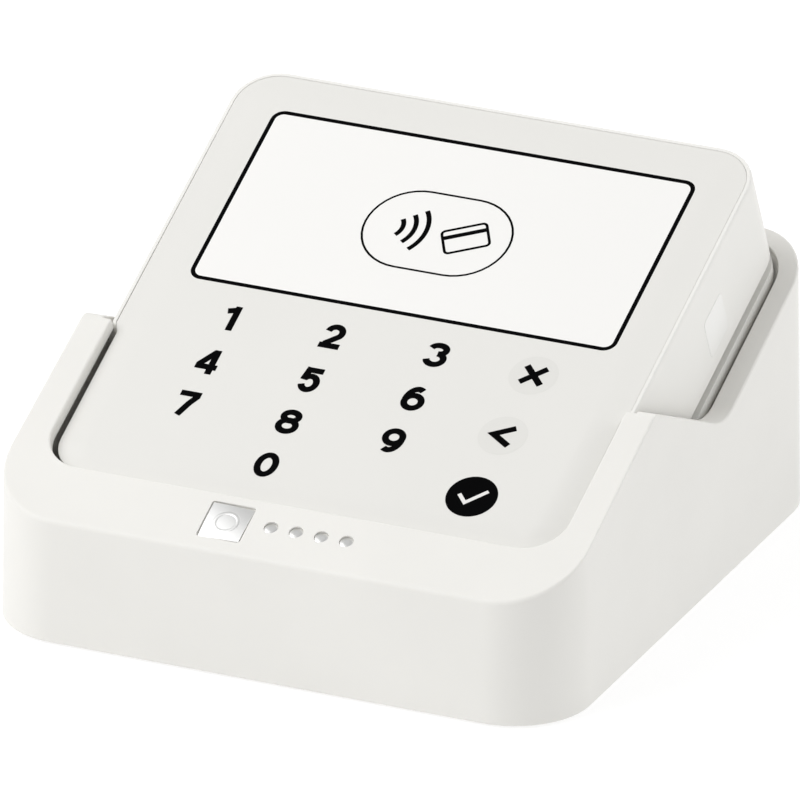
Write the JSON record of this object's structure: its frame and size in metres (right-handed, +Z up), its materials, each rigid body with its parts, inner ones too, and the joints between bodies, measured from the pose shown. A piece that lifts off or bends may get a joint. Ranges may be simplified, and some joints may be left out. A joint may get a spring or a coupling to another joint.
{
  "type": "card payment terminal",
  "caption": "Square touch card reader resting tilted in a wedge-shaped white charging dock, with a lit display, printed keypad, swipe slot and chip card slot.",
  "frame": {"origin": "on the table under the middle of the dock", "axes": "+Z up; -Y towards the customer's front lip; +X to the right seen from the front; the face tilts 25 degrees, rising towards +Y"},
  "size_m": [0.093, 0.098, 0.0579],
  "materials": {
    "shell_white": "fine satin moulded plastic, warm white",
    "cover_white": "smooth white touch cover with rolled edges",
    "screen_white": "bright white lit display behind a smooth window",
    "ink_black": "black printed outline, legends and confirm disc",
    "badge_metal": "polished metallised inlay",
    "rubber_grey": "non-slip rubber",
    "steel": "plain steel",
    "gold": "gold-plated contacts",
    "board_green": "circuit board",
    "chip_black": "moulded black plastic",
    "film_amber": "flexible printed film",
    "cell_silver": "foil-wrapped cell"
  },
  "bodies": {
    "dock": {"dock_shell": "shell_white", "dock_base": "shell_white", "dock_mat": "rubber_grey", "dock_weight": "steel", "dock_board": "board_green", "dock_board_parts": "chip_black", "dock_usb_port": "steel", "contact_block": "chip_black", "dock_screws": "steel", "dock_badge": "badge_metal"},
    "reader": {"mid_frame": "shell_white", "front_cover": "cover_white", "display_border": "ink_black", "display_window": "screen_white", "lcd_panel": "chip_black", "touch_sensor": "film_amber", "nfc_antenna": "chip_black", "display_flex": "film_amber", "main_board": "board_green", "board_chips": "chip_black", "shield_can": "steel", "backup_cell": "steel", "battery": "cell_silver", "card_connector": "chip_black", "speaker": "chip_black", "power_switch": "steel", "usb_port": "steel", "charge_pads": "gold", "rear_cover": "shell_white", "reader_screws": "steel", "reader_feet": "rubber_grey", "side_tile": "screen_white"},
    "power_button": {"power_button": "shell_white"},
    "swipe_head": {"swipe_head": "steel", "head_spring": "gold"},
    "chip_contacts": {"chip_contacts": "gold"},
    "pin_1": {"charge_pin_1": "gold"},
    "pin_2": {"charge_pin_2": "gold"},
    "pin_3": {"charge_pin_3": "gold"},
    "pin_4": {"charge_pin_4": "gold"}
  },
  "joints": [
    {"name": "reader_lift", "type": "slide", "parent": "dock", "child": "reader", "axis": [0, -0.4226, 0.9063], "range_m": [0, 0.04]},
    {"name": "power_press", "type": "slide", "parent": "reader", "child": "power_button", "axis": [1, 0, 0], "range_m": [0, 0.0005], "stiffness_N_per_m": 900, "springref_m": -0.0006},
    {"name": "swipe_head_float", "type": "slide", "parent": "reader", "child": "swipe_head", "axis": [0, -0.4226, 0.9063], "range_m": [0, 0.0007], "stiffness_N_per_m": 900, "springref_m": -0.0006},
    {"name": "chip_contacts_press", "type": "slide", "parent": "reader", "child": "chip_contacts", "axis": [0, -0.4226, 0.9063], "range_m": [0, 0.00035], "stiffness_N_per_m": 800, "springref_m": -0.0005},
    {"name": "charge_pin_1_press", "type": "slide", "parent": "dock", "child": "pin_1", "axis": [0, 0.4226, -0.9063], "range_m": [0, 0.0008], "stiffness_N_per_m": 400, "springref_m": -0.0008},
    {"name": "charge_pin_2_press", "type": "slide", "parent": "dock", "child": "pin_2", "axis": [0, 0.4226, -0.9063], "range_m": [0, 0.0008], "stiffness_N_per_m": 400, "springref_m": -0.0008},
    {"name": "charge_pin_3_press", "type": "slide", "parent": "dock", "child": "pin_3", "axis": [0, 0.4226, -0.9063], "range_m": [0, 0.0008], "stiffness_N_per_m": 400, "springref_m": -0.0008},
    {"name": "charge_pin_4_press", "type": "slide", "parent": "dock", "child": "pin_4", "axis": [0, 0.4226, -0.9063], "range_m": [0, 0.0008], "stiffness_N_per_m": 400, "springref_m": -0.0008}
  ],
  "couplings": [
    {"joint": "charge_pin_2_press", "follows": "charge_pin_1_press", "ratio": 1},
    {"joint": "charge_pin_3_press", "follows": "charge_pin_1_press", "ratio": 1},
    {"joint": "charge_pin_4_press", "follows": "charge_pin_1_press", "ratio": 1}
  ]
}
